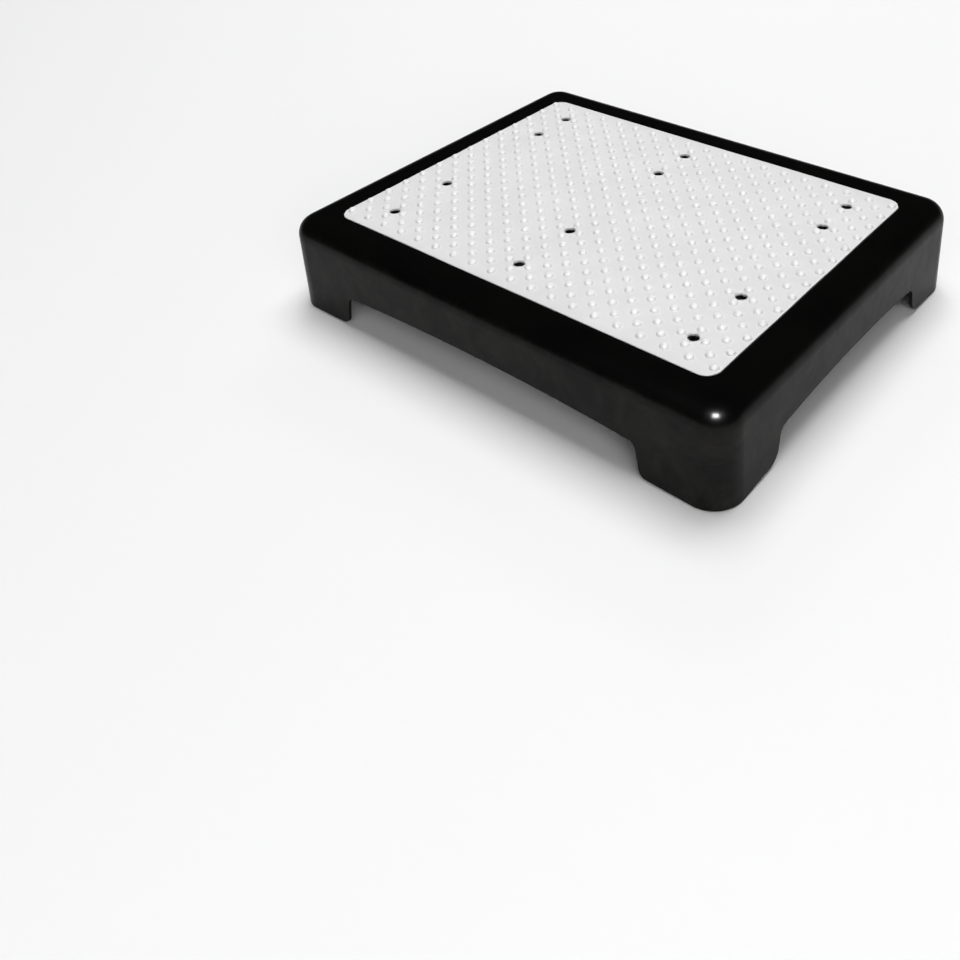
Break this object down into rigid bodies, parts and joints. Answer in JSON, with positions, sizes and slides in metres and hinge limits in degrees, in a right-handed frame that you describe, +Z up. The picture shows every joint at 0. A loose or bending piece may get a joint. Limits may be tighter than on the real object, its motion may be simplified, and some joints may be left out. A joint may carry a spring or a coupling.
{
  "type": "step platform",
  "caption": "Low rectangular step platform: hollow moulded plastic shell on four corner feet, with a white domed anti-slip rubber mat set into its flat top.",
  "frame": {"origin": "on the floor at the middle of the footprint", "axes": "+X along the long side, -Y towards the front, +Z up"},
  "size_m": [0.488, 0.39, 0.0928],
  "materials": {
    "shell_plastic": "satin moulded polypropylene",
    "mat_rubber": "matt white rubber with raised domes",
    "plug_rubber": "matt black rubber"
  },
  "bodies": {
    "root": {"shell": "shell_plastic", "tread_mat": "mat_rubber", "foot_plug_front_left": "plug_rubber", "foot_plug_front_right": "plug_rubber", "foot_plug_back_left": "plug_rubber", "foot_plug_back_right": "plug_rubber"}
  },
  "joints": []
}
